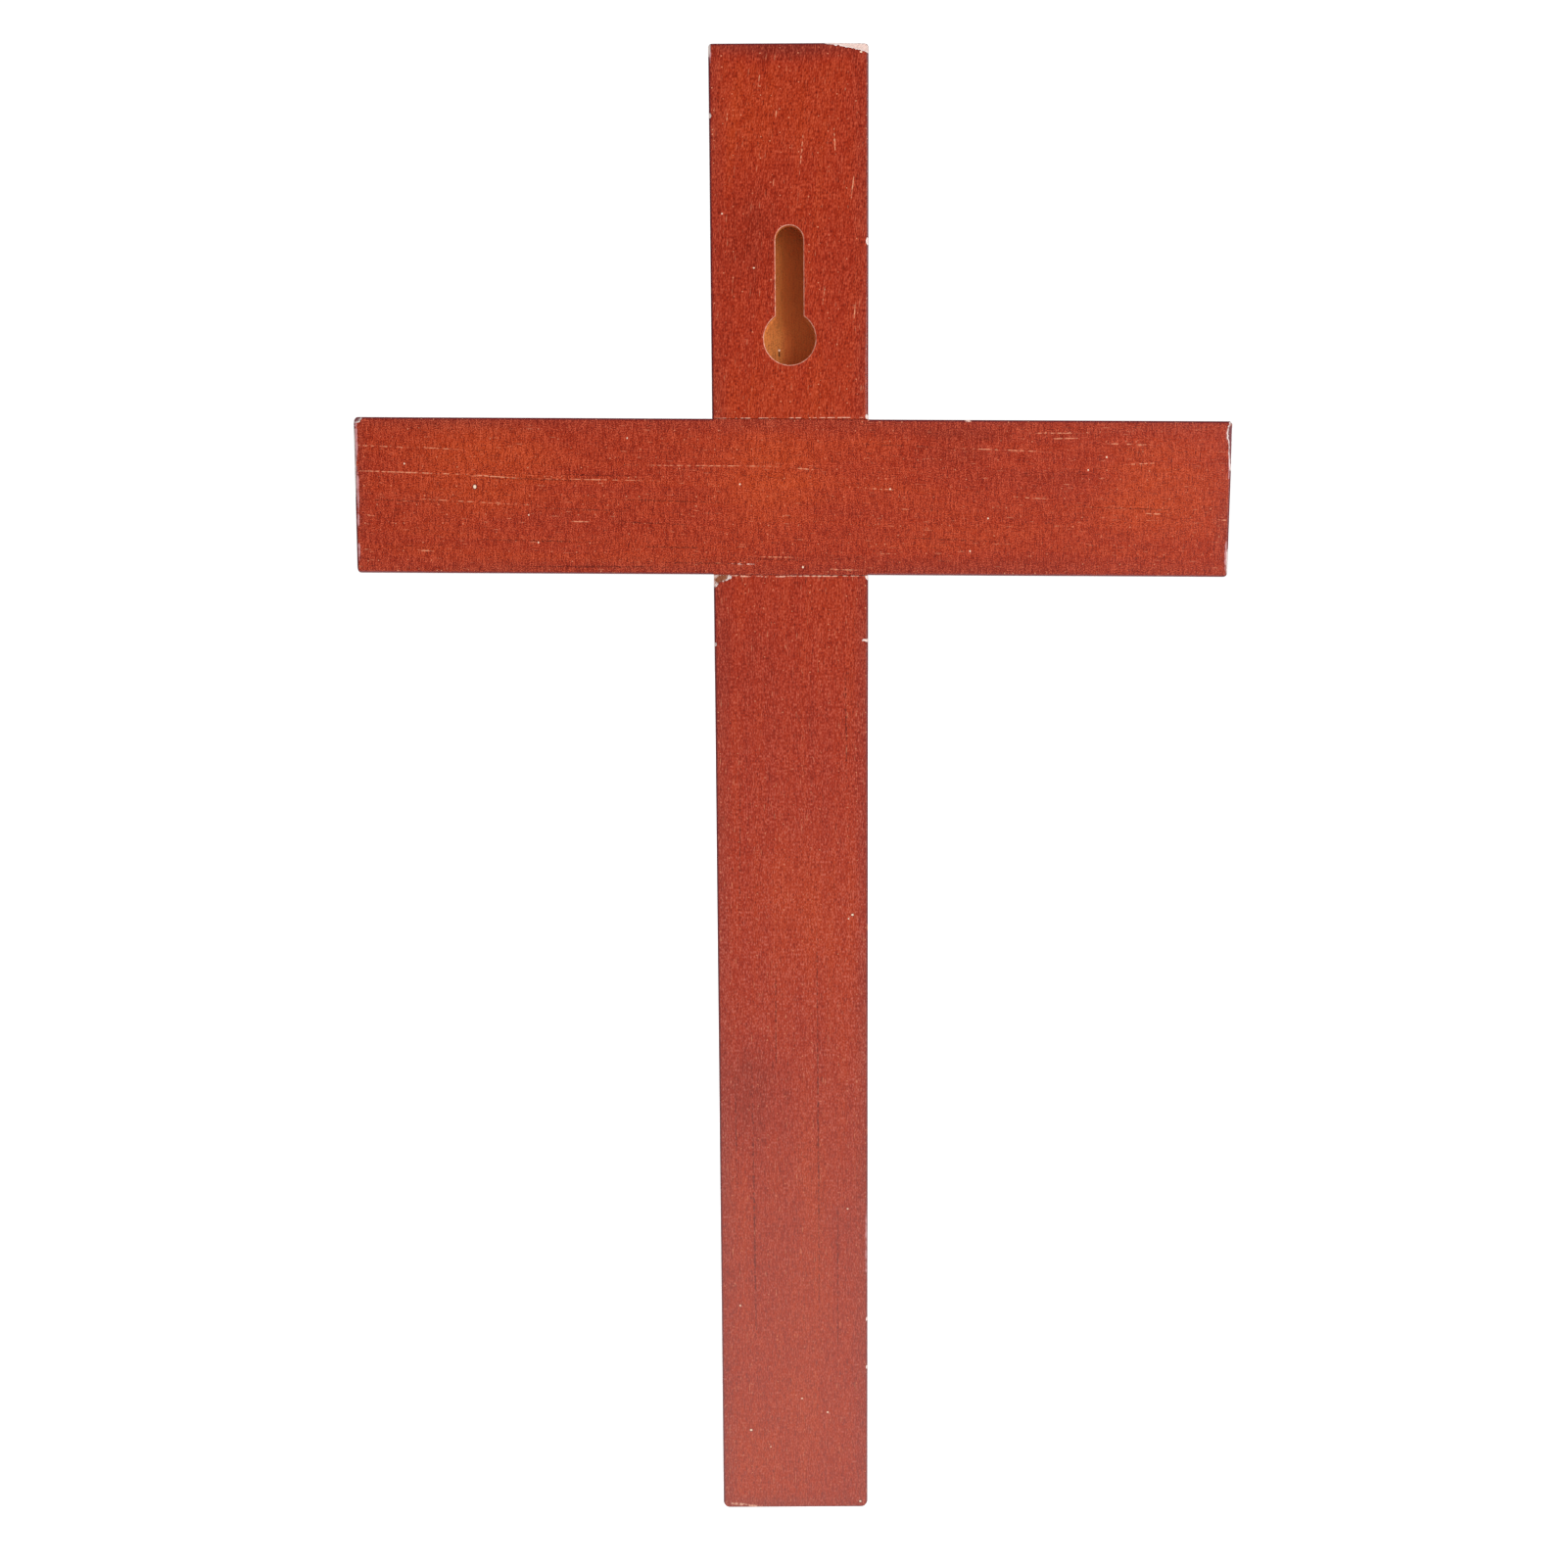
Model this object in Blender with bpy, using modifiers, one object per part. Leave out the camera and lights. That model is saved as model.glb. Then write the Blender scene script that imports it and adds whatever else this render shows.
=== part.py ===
"""A plain wooden wall cross, 26 cm tall, modelled around its photographed back.

Two stained bars cross in a glued half-lap joint, flush on both faces. On the back the crossbar
runs through, and on the front the upright does. A keyhole slot routed in the back of the upper
arm takes the screw that the cross hangs on.

The origin is where that screw's shank sits: in the top of the slot's neck, on the back face.
+Z is up, +Y points out of the back face towards the wall, and the front faces -Y. Each bar is
drawn in a frame of its own, whose origin is the middle of the crossing on the back face: x runs
across the bar, y runs out of its back and z runs along it.
"""

import math

import bmesh
import bpy
from mathutils import Matrix

MM = 0.001

# The bars: stock size, lengths and how they cross
THICKNESS = 12.0 * MM
UPRIGHT_WIDTH = 26.7 * MM
UPRIGHT_LENGTH = 260.0 * MM
CROSSBAR_WIDTH = 26.5 * MM
CROSSBAR_LENGTH = 150.3 * MM
CROSSING_BELOW_TOP = 74.8 * MM
CROSSBAR_OFF_CENTRE = 0.4 * MM
CROSSBAR_SLANT = math.radians(0.6)

# The half-lap joint: how deep the upright is cut, and the room left in it for the glue
LAP_DEPTH = 6.0 * MM
GLUE_GAP = 0.3 * MM

# The keyhole slot
SLOT_BELOW_TOP = 31.8 * MM
SLOT_DROP = 16.3 * MM
SLOT_DEPTH = 6.5 * MM
SLOT_LIP = 2.5 * MM
NECK_WIDTH = 4.8 * MM
ENTRY_DIAMETER = 8.8 * MM
HEAD_GROOVE_WIDTH = 8.6 * MM

# The sanded edges and the rounded corners of the ends
ARRIS = 0.4 * MM
UPRIGHT_TOP_CORNER = 0.6 * MM
UPRIGHT_BOTTOM_CORNER = 1.3 * MM
CROSSBAR_CORNER = 0.7 * MM

# Fineness of the rounded shapes
CORNER_STEPS = 4
ARRIS_STEPS = 2
ROUND_SIDES = 48
KNOCK_SIDES = 12
KNOCK_RINGS = 7
SHARP_ANGLE = math.radians(35.0)

# How far a cutter stands out of the face that it cuts
OVERCUT = 2.0 * MM

# Turns the round knocks so that none of their corners lies in a face of the bar
KNOCK_TURN = Matrix.Rotation(math.radians(17.0), 4, (1.0, 2.0, 3.0))

# The middle of the crossing, seen from the top of the slot
CROSSING_HEIGHT = SLOT_BELOW_TOP - CROSSING_BELOW_TOP

# Ends of the bars, measured along them from the middle of the crossing
UPRIGHT_TOP = CROSSING_BELOW_TOP
UPRIGHT_BOTTOM = CROSSING_BELOW_TOP - UPRIGHT_LENGTH
CROSSBAR_HIGH_END = 0.5 * CROSSBAR_LENGTH - CROSSBAR_OFF_CENTRE
CROSSBAR_LOW_END = CROSSBAR_HIGH_END - CROSSBAR_LENGTH

# Half widths, which are the places of the long arrises
UPRIGHT_SIDE = 0.5 * UPRIGHT_WIDTH
CROSSBAR_SIDE = 0.5 * CROSSBAR_WIDTH

# Where the crossbar's two edges pass the upright, with the glue gap
SHOULDER = CROSSBAR_SIDE + GLUE_GAP

# Knocks in the upright's back edges: the place as x and z, then how far the knock reaches
# along x, into the wood and along z
UPRIGHT_KNOCKS = (
    ("top_edge_split", -UPRIGHT_SIDE, UPRIGHT_TOP, 6.4 * MM, 0.7 * MM, 0.8 * MM),
    ("top_corner_split", -UPRIGHT_SIDE, UPRIGHT_TOP, 2.0 * MM, 0.9 * MM, 1.7 * MM),
    ("top_sliver", UPRIGHT_SIDE, UPRIGHT_TOP, 0.5 * MM, 0.5 * MM, 3.2 * MM),
    ("upper_arm_nick", UPRIGHT_SIDE, 63.2 * MM, 0.4 * MM, 0.4 * MM, 0.5 * MM),
    ("slot_side_nick", -UPRIGHT_SIDE, 42.7 * MM, 0.6 * MM, 0.5 * MM, 0.8 * MM),
    ("shoulder_nick", -UPRIGHT_SIDE, SHOULDER, 0.5 * MM, 0.5 * MM, 0.5 * MM),
    ("shoulder_chip", UPRIGHT_SIDE, -SHOULDER, 3.1 * MM, 0.8 * MM, 1.7 * MM),
    ("lower_shoulder_nick", -UPRIGHT_SIDE, -SHOULDER, 0.6 * MM, 0.5 * MM, 0.6 * MM),
    ("wedge_nick", -UPRIGHT_SIDE, -24.6 * MM, 1.1 * MM, 0.6 * MM, 0.5 * MM),
    ("opposite_nick", UPRIGHT_SIDE, -25.2 * MM, 0.6 * MM, 0.6 * MM, 0.5 * MM),
    ("low_nick", -UPRIGHT_SIDE, -148.6 * MM, 0.4 * MM, 0.5 * MM, 0.6 * MM),
    ("lowest_nick", -UPRIGHT_SIDE, -157.8 * MM, 0.4 * MM, 0.4 * MM, 0.5 * MM),
    ("foot_chip", 0.75 * UPRIGHT_SIDE, UPRIGHT_BOTTOM, 3.2 * MM, 0.7 * MM, 0.6 * MM),
)

# The same for the crossbar, whose x runs down the wall and whose z runs to its high end
CROSSBAR_KNOCKS = (
    ("high_end_corner", -CROSSBAR_SIDE, CROSSBAR_HIGH_END, 0.9 * MM, 0.7 * MM, 1.6 * MM),
    ("high_end_wear", -0.4 * CROSSBAR_SIDE, CROSSBAR_HIGH_END, 8.0 * MM, 0.5 * MM, 0.5 * MM),
    ("low_end_split", -0.75 * CROSSBAR_SIDE, CROSSBAR_LOW_END, 4.5 * MM, 0.8 * MM, 1.1 * MM),
    ("low_end_wear", 0.1 * CROSSBAR_SIDE, CROSSBAR_LOW_END, 11.5 * MM, 0.5 * MM, 0.5 * MM),
)


def clear_scene():
    """Remove every object that the new file starts with."""
    for old in list(bpy.data.objects):
        bpy.data.objects.remove(old)


def new_collection(name):
    collection = bpy.data.collections.new(name)
    bpy.context.scene.collection.children.link(collection)
    return collection


def stained_wood(name, colour):
    """Red-brown stain under a thin satin lacquer."""
    material = bpy.data.materials.new(name)
    material.use_nodes = True
    shader = material.node_tree.nodes["Principled BSDF"]
    shader.inputs["Base Color"].default_value = (*colour, 1.0)
    shader.inputs["Roughness"].default_value = 0.45
    shader.inputs["Metallic"].default_value = 0.0
    return material


def mesh_object(name, bm, collection):
    """Turn a finished bmesh into an object with outward faces."""
    bmesh.ops.recalc_face_normals(bm, faces=bm.faces)
    mesh = bpy.data.meshes.new(name)
    bm.to_mesh(mesh)
    bm.free()
    obj = bpy.data.objects.new(name, mesh)
    collection.objects.link(obj)
    return obj


def box(bm, low, high):
    """Add a box between two opposite corners."""
    size = [b - a for a, b in zip(low, high)]
    middle = [0.5 * (a + b) for a, b in zip(low, high)]
    place = Matrix.Translation(middle) @ Matrix.Diagonal((*size, 1.0))
    return bmesh.ops.create_cube(bm, size=1.0, matrix=place)["verts"]


def round_end(bm, end, radius):
    """Round the two corners of one end of a bar, seen from its back."""
    corners = [
        edge
        for edge in bm.edges
        if all(math.isclose(v.co.z, end, abs_tol=1e-7) for v in edge.verts)
        and math.isclose(edge.verts[0].co.x, edge.verts[1].co.x, abs_tol=1e-7)
    ]
    bmesh.ops.bevel(
        bm,
        geom=corners,
        offset=radius,
        offset_type="OFFSET",
        segments=CORNER_STEPS,
        profile=0.5,
        affect="EDGES",
    )


def make_bar(name, width, top, bottom, corners, material, collection):
    """A sawn bar with rounded end corners and sanded arrises."""
    bm = bmesh.new()
    box(bm, (-0.5 * width, -THICKNESS, bottom), (0.5 * width, 0.0, top))
    round_end(bm, top, corners[0])
    round_end(bm, bottom, corners[1])
    bar = mesh_object(name, bm, collection)
    bar.data.materials.append(material)
    bar.data.shade_smooth()
    bar.data.set_sharp_from_angle(angle=SHARP_ANGLE)
    sanded = bar.modifiers.new("sanded_arrises", "BEVEL")
    sanded.width = ARRIS
    sanded.segments = ARRIS_STEPS
    sanded.limit_method = "ANGLE"
    sanded.angle_limit = SHARP_ANGLE
    return bar


def cut(bar, name, bm, cutters, turn=0.0):
    """Take a shape, drawn in the bar's frame, out of the bar."""
    cutter = mesh_object(name, bm, cutters)
    cutter.parent = bar
    cutter.rotation_euler = (0.0, turn, 0.0)
    cutter.hide_render = True
    cutter.display_type = "WIRE"
    boolean = bar.modifiers.new(name, "BOOLEAN")
    boolean.operation = "DIFFERENCE"
    boolean.solver = "EXACT"
    boolean.object = cutter


def cylinder(bm, radius, floor, height):
    """Add a cylinder that is driven in from the back, down to floor and centred at height."""
    middle = 0.5 * (OVERCUT + floor)
    place = Matrix.Translation((0.0, middle, height)) @ Matrix.Rotation(math.radians(90.0), 4, "X")
    bmesh.ops.create_cone(
        bm,
        cap_ends=True,
        segments=ROUND_SIDES,
        radius1=radius,
        radius2=radius,
        depth=OVERCUT - floor,
        matrix=place,
    )


def slot(bm, width, roof, floor, top, drop):
    """Add a round-ended slot: the hull of two discs at each of its two depths."""
    for depth in (roof, floor):
        for height in (top, top - drop):
            place = Matrix.Translation((0.0, depth, height)) @ Matrix.Rotation(math.radians(90.0), 4, "X")
            bmesh.ops.create_circle(bm, segments=ROUND_SIDES, radius=0.5 * width, matrix=place)
    hull = bmesh.ops.convex_hull(bm, input=bm.verts)
    inner = {item for item in hull["geom_interior"] if isinstance(item, bmesh.types.BMVert)}
    bmesh.ops.delete(bm, geom=list(inner), context="VERTS")
    loose = [edge for edge in bm.edges if not edge.link_faces]
    bmesh.ops.delete(bm, geom=loose, context="EDGES")


def cut_keyhole(upright, cutters):
    """The entry hole for the screw's head, the neck for its shank and the groove behind the lip."""
    top = CROSSING_BELOW_TOP - SLOT_BELOW_TOP
    entry = bmesh.new()
    cylinder(entry, 0.5 * ENTRY_DIAMETER, -SLOT_DEPTH, top - SLOT_DROP)
    cut(upright, "keyhole_entry", entry, cutters)
    groove = bmesh.new()
    slot(groove, HEAD_GROOVE_WIDTH, -SLOT_LIP, -SLOT_DEPTH, top, SLOT_DROP)
    cut(upright, "keyhole_head_groove", groove, cutters)
    neck = bmesh.new()
    slot(neck, NECK_WIDTH, OVERCUT, -0.5 * (SLOT_LIP + SLOT_DEPTH), top, SLOT_DROP)
    cut(upright, "keyhole_neck", neck, cutters)


def cut_half_lap(upright, crossbar, cutters):
    """Halve each bar where the other passes, square to that other bar."""
    reach = UPRIGHT_SIDE + OVERCUT
    housing = bmesh.new()
    box(housing, (-reach, -LAP_DEPTH, -SHOULDER), (reach, OVERCUT, SHOULDER))
    cut(upright, "crossbar_housing", housing, cutters, -CROSSBAR_SLANT)
    cheek = UPRIGHT_SIDE + GLUE_GAP
    reach = CROSSBAR_SIDE + OVERCUT
    tongue = LAP_DEPTH - GLUE_GAP
    halving = bmesh.new()
    box(halving, (-reach, -THICKNESS - OVERCUT, -cheek), (reach, -tongue, cheek))
    cut(crossbar, "upright_housing", halving, cutters, CROSSBAR_SLANT)


def cut_knocks(bar, knocks, cutters):
    """Scoop the chipped places out of the back edges, each as an ellipsoid."""
    for name, across, along, reach_x, reach_y, reach_z in knocks:
        knock = bmesh.new()
        reach = Matrix.Diagonal((reach_x, reach_y, reach_z, 1.0))
        place = Matrix.Translation((across, 0.0, along)) @ reach @ KNOCK_TURN
        bmesh.ops.create_uvsphere(
            knock, u_segments=KNOCK_SIDES, v_segments=KNOCK_RINGS, radius=1.0, matrix=place
        )
        cut(bar, name, knock, cutters)


def build():
    clear_scene()
    parts = new_collection("wall_cross")
    cutters = new_collection("cutters")
    upright = make_bar(
        "upright",
        UPRIGHT_WIDTH,
        UPRIGHT_TOP,
        UPRIGHT_BOTTOM,
        (UPRIGHT_TOP_CORNER, UPRIGHT_BOTTOM_CORNER),
        stained_wood("stained_upright", (0.402, 0.052, 0.021)),
        parts,
    )
    crossbar = make_bar(
        "crossbar",
        CROSSBAR_WIDTH,
        CROSSBAR_HIGH_END,
        CROSSBAR_LOW_END,
        (CROSSBAR_CORNER, CROSSBAR_CORNER),
        stained_wood("stained_crossbar", (0.413, 0.050, 0.018)),
        parts,
    )
    for bar in (upright, crossbar):
        bar.location = (0.0, 0.0, CROSSING_HEIGHT)
    crossbar.rotation_euler = (0.0, math.radians(90.0) - CROSSBAR_SLANT, 0.0)
    cut_knocks(upright, UPRIGHT_KNOCKS, cutters)
    cut_knocks(crossbar, CROSSBAR_KNOCKS, cutters)
    cut_half_lap(upright, crossbar, cutters)
    cut_keyhole(upright, cutters)


build()
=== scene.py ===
"""A small wooden wall cross, seen from the back, with the keyhole routed in it that hangs it on a screw.

Two planed strips of hardwood are half-lapped and glued where they cross, flush on both sides, and then
sprayed with a red mahogany stain and a satin lacquer. Here each strip gets its fine grain, its worn
arrises and its chips. The frame gives the sizes. Lengths in the shape functions are millimetres in the
strip's own frame: x across it, y out of the back, z along it, with the middle of the crossing at the
origin.
"""

import math

import bpy
import numpy as np
from bpy.props import FloatProperty, FloatVectorProperty, PointerProperty
from mathutils import Matrix, Vector


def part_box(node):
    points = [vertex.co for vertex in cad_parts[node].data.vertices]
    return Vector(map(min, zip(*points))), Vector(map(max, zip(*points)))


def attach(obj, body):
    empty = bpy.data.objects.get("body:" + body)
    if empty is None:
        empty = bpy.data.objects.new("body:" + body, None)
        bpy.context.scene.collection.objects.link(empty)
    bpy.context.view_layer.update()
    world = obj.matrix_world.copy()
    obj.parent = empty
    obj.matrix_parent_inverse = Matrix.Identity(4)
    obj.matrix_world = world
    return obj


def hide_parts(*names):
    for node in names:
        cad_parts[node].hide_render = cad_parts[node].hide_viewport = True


bl_info = {
    "name": "Wooden Wall Cross",
    "version": (1, 0, 0),
    "blender": (4, 5, 0),
    "location": "3D View > Sidebar > Wall Cross",
    "description": "Builds a half-lapped wooden wall cross with a routed keyhole, and a plain stage",
    "category": "Object",
}

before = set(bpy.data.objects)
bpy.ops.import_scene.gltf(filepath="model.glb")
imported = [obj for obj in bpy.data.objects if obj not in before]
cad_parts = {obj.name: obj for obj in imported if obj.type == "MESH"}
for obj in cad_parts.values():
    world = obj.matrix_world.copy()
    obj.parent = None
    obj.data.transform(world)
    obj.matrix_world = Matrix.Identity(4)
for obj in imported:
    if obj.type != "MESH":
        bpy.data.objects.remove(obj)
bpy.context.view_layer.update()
UPRIGHT_LOW, UPRIGHT_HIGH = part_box("upright")
MM = 0.001

# A place past a strip's end counts as that end. x is a share of the half width in a knock or a rubbed
# place. On the upright x grows towards the photograph's left and z grows upwards. On the crossbar x grows
# downwards and z grows towards its higher end, on the photograph's left.
TOP = HIGH = 999.0
LOW = -999.0

# Knocks that took wood off the back's arrises: x, z, and the reach in x, y and z.
UPRIGHT_KNOCKS = (
    (-1, TOP, 7.6, 0.6, 0.45),
    (-1, TOP, 5.8, 0.7, 0.95),
    (-1, TOP, 3.6, 0.8, 1.35),
    (-1, TOP, 1.6, 0.9, 1.6),
    (1, TOP, 0.42, 0.4, 2.4),
    (1, 63.2, 0.4, 0.4, 0.5),
    (-1, 42.7, 0.45, 0.5, 0.7),
    (-1, 13.6, 0.5, 0.5, 0.5),
    (1, -13.5, 3.0, 0.7, 0.95),
    (1, -13.6, 1.1, 0.7, 1.7),
    (-1, -13.6, 0.5, 0.5, 0.6),
    (-1, -24.6, 1.1, 0.45, 0.24),
    (1, -25.2, 0.45, 0.5, 0.4),
    (-1, -148.6, 0.35, 0.5, 0.5),
    (-1, -157.8, 0.35, 0.4, 0.4),
)
CROSSBAR_KNOCKS = (
    (-1, HIGH, 1.1, 0.7, 1.5),
    (-0.4, HIGH, 8.0, 0.4, 0.3),
    (-0.85, LOW, 2.2, 0.7, 0.95),
    (-0.7, LOW, 4.6, 0.6, 0.6),
    (0.8, LOW, 2.8, 0.4, 0.3),
)
# Arrises rubbed through the stain, given in the same way. They lose no wood.
UPRIGHT_RUBS = (
    (-0.7, 74.5, 3.2, 0.4, 0.16),
    (0.975, 73.2, 0.2, 0.4, 1.8),
    (-0.975, -133.0, 0.15, 0.4, 9.0),
)
CROSSBAR_RUBS = (
    (-0.7, 74.3, 4.5, 0.4, 0.24),
    (-0.1, 74.25, 4.5, 0.4, 0.27),
    (0.32, 74.3, 1.6, 0.4, 0.25),
    (0.72, 74.3, 2.4, 0.4, 0.24),
    (-0.5, -75.15, 4.5, 0.4, 0.2),
    (0.72, -75.1, 3.6, 0.4, 0.24),
)
# A chip that stain has run into: x, z, half width, half length, lean in degrees.
STAINED_CHIP = ((12.1, -13.8, 1.3, 0.6, 24),)
# Pale scratches and missed pores: x, z, half width, half length, lean in degrees.
UPRIGHT_SCRATCHES = (
    (-7.7, 58.9, 0.16, 1.7, 3),
    (-2.15, 57.4, 0.15, 2.7, -6),
    (-10.7, 51.7, 0.15, 2.1, -7),
    (2.1, 63.5, 0.13, 0.8, -4),
    (10.3, 63.0, 0.12, 0.8, -7),
    (-5.8, 33.8, 0.13, 1.2, -9),
    (-11.0, 30.9, 0.14, 1.3, -4),
    (4.9, 69.0, 0.10, 1.3, -7),
    (-9.4, 66.5, 0.10, 0.9, -5),
)
# Lacquer that has cracked along the joint and at the foot, given in the same way.
UPRIGHT_BREAKS = (
    (10.4, -184.45, 1.5, 0.22, -6),
    (7.8, -184.8, 1.4, 0.2, -8),
    (12.3, -184.15, 0.5, 0.3, -20),
    (8.0, 13.45, 5.1, 0.07, 0),
    (-1.6, 13.45, 2.3, 0.07, 0),
    (-8.3, 13.45, 4.9, 0.08, 0),
    (-6.2, -13.45, 6.6, 0.14, 0),
    (1.6, -13.5, 1.4, 0.13, 3),
    (4.9, -13.5, 1.0, 0.13, -4),
    (8.6, -13.4, 1.6, 0.13, -3),
)
# Dark lines a fibre wide, given in the same way.
UPRIGHT_HAIRLINES = (
    (7.2, -128.0, 0.14, 26.0, 0.4),
    (-4.4, -112.0, 0.13, 34.0, 0.2),
    (9.2, -60.0, 0.11, 12.0, -1.0),
    (-9.5, -40.0, 0.12, 9.0, 0.6),
    (3.1, -92.0, 0.11, 9.0, 0.0),
    (-7.9, -141.0, 0.11, 14.0, 0.0),
    (10.4, -112.0, 0.11, 10.0, 0.5),
)
CROSSBAR_SCRATCHES = (
    (-3.9, 65.2, 0.15, 9.2, -1.7),
    (-3.3, 50.9, 0.14, 4.3, -3.8),
    (-2.85, 34.0, 0.11, 8.2, -0.7),
    (-5.3, 13.6, 0.12, 10.6, -0.2),
    (-8.3, 70.0, 0.12, 4.0, -2.2),
    (-8.0, 60.1, 0.11, 3.3, -2.8),
    (1.0, 55.0, 0.10, 9.0, -3.0),
    (9.4, 62.7, 0.14, 1.1, -2.3),
    (3.4, 72.3, 0.13, 0.7, -9),
    (9.2, 73.1, 0.13, 0.8, -3),
    (4.3, 36.4, 0.14, 1.6, -1.7),
    (-4.85, -2.3, 0.15, 1.6, -4),
    (-1.5, -15.5, 0.12, 1.8, -3),
    (-8.2, -36.6, 0.13, 6.2, -2.1),
    (-11.1, -45.2, 0.14, 3.9, 0.3),
    (-10.2, -46.5, 0.13, 2.6, 1.2),
    (-0.1, -41.4, 0.11, 2.9, -3),
    (-9.3, -57.6, 0.15, 3.3, -1.2),
    (-6.0, -60.0, 0.13, 2.7, 3),
    (2.5, -62.8, 0.13, 1.8, -2.6),
    (3.5, -74.4, 0.16, 1.3, -1.9),
    (9.55, -16.3, 0.14, 1.5, 0.3),
    (12.3, -9.2, 0.12, 2.0, -2.3),
    (10.2, 2.4, 0.12, 3.2, -1),
)
CROSSBAR_BREAKS = (
    (-13.2, -30.2, 0.3, 0.5, 0),
    (11.4, 8.2, 0.12, 1.7, -1),
)
CROSSBAR_HAIRLINES = (
    (0.9, 66.0, 0.10, 8.0, -1.5),
    (-2.9, 44.0, 0.11, 9.0, -2.0),
    (-3.6, 33.0, 0.10, 6.0, -1.0),
    (2.2, 36.0, 0.10, 8.0, -2.0),
    (0.7, 21.0, 0.11, 9.0, -1.5),
    (4.5, 24.0, 0.10, 7.0, -2.0),
    (7.6, 44.0, 0.10, 10.0, -1.0),
    (8.6, 20.0, 0.11, 9.0, -1.0),
    (11.3, 14.0, 0.12, 7.0, -0.5),
    (12.0, 34.0, 0.14, 14.0, 0.0),
    (10.6, 3.0, 0.11, 6.0, -1.0),
    (7.0, -26.0, 0.10, 8.0, -2.0),
    (-8.9, -18.0, 0.09, 6.0, -2.0),
    (1.6, -58.0, 0.10, 9.0, -1.5),
)
# Specks of dust caught in the lacquer: x, z, radius.
UPRIGHT_SPECKS = (
    (-12.0, -184.0, 0.20),
    (8.1, -169.9, 0.22),
    (-6.0, -166.5, 0.17),
    (-1.3, -163.8, 0.15),
    (4.5, -173.2, 0.12),
    (9.9, -145.8, 0.16),
    (-10.6, -73.2, 0.20),
    (-9.9, -73.9, 0.13),
    (-9.7, -127.5, 0.14),
    (11.3, 47.3, 0.14),
    (6.0, 38.4, 0.14),
    (-12.1, 73.3, 0.18),
)
CROSSBAR_SPECKS = (
    (-1.55, 54.2, 0.30),
    (11.9, -2.2, 0.18),
    (7.9, 43.4, 0.14),
    (-5.4, 66.2, 0.14),
    (-7.1, -54.1, 0.15),
    (-4.9, -51.0, 0.14),
    (-1.5, -17.1, 0.15),
    (-2.2, 8.7, 0.15),
    (9.0, -31.0, 0.14),
    (3.4, -34.0, 0.14),
    (-9.9, 28.0, 0.13),
    (3.2, 45.0, 0.13),
)
# Where the stain lies thicker or thinner: x, z, half width, half length, and how far towards orange, or
# if negative towards plum.
UPRIGHT_PATCHES = (
    (3.0, 63.0, 9.0, 9.0, 0.14),
    (0.0, 15.0, 16.0, 9.0, 0.06),
    (6.0, 42.0, 7.0, 12.0, -0.15),
    (0.0, 76.0, 18.0, 5.0, -0.45),
    (0.0, -172.0, 14.0, 16.0, 0.12),
    (8.0, -28.0, 9.0, 14.0, -0.15),
    (-4.0, -72.0, 11.0, 16.0, 0.16),
    (9.0, -107.0, 9.0, 16.0, -0.18),
)
CROSSBAR_PATCHES = (
    (-5.0, 52.0, 9.0, 16.0, 0.28),
    (-3.0, 3.0, 11.0, 12.0, 0.28),
    (-2.0, -64.0, 10.0, 13.0, 0.30),
    (5.0, 62.0, 8.0, 9.0, 0.02),
    (12.0, 40.0, 5.0, 30.0, 0.06),
    (-10.0, -28.0, 6.0, 12.0, -0.18),
    (12.0, -30.0, 4.0, 30.0, -0.15),
)


def linear(hex_colour):
    """The linear colour of an sRGB hex value, opaque."""
    channels = np.array([int(hex_colour[i : i + 2], 16) for i in (0, 2, 4)]) / 255
    curve = np.where(channels <= 0.04045, channels / 12.92, ((channels + 0.055) / 1.055) ** 2.4)
    return (*curve.tolist(), 1.0)


def length_setting(name, description, default, least):
    """A length in metres that the user can change."""
    return FloatProperty(
        name=name, description=description, default=default, min=least, precision=5, unit="LENGTH"
    )


def colour_setting(name, description, hex_colour):
    """A colour that the user can change, given as sRGB hex."""
    return FloatVectorProperty(
        name=name,
        description=description,
        default=linear(hex_colour),
        size=4,
        min=0.0,
        max=1.0,
        subtype="COLOR",
    )


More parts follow.
